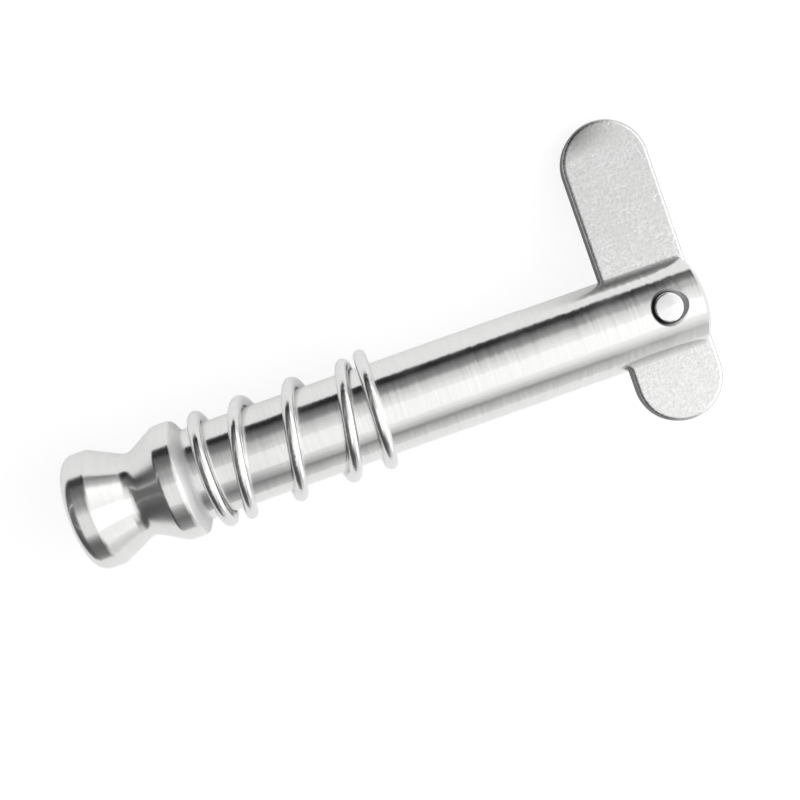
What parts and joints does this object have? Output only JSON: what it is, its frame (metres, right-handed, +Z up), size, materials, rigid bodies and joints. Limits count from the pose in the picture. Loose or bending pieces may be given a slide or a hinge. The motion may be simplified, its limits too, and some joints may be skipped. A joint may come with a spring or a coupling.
{
  "type": "spring toggle pin",
  "caption": "Turned quick-release pin with a waisted head, a coil spring beside its collar and an off-centre toggle plate that swings across the slotted tip to lock it.",
  "frame": {"origin": "on the shank's axis, where the shank leaves the collar's rounded shoulder", "axes": "+X along the shank towards the slotted tip; +Y the side that the toggle's long end lies on; +Z up, with the pin lying on the spring, the head and the tip of the toggle's long end"},
  "size_m": [0.0434, 0.0202, 0.0083],
  "materials": {
    "pin_body": "turned and polished stainless steel with faint circular tool marks",
    "spring": "bright drawn stainless spring wire",
    "toggle": "blanked stainless sheet, tumbled matte",
    "rivet": "stainless rivet, ground flush and polished with the shank"
  },
  "bodies": {
    "pin": {"pin_body": "pin_body", "spring": "spring", "rivet": "rivet"},
    "toggle": {"toggle": "toggle"}
  },
  "joints": [
    {"name": "toggle_hinge", "type": "hinge", "parent": "pin", "child": "toggle", "pos_m": [0.03245, 0, 0], "axis": [0, 0.2737, 0.9618], "range_deg": [-230, 50]}
  ]
}
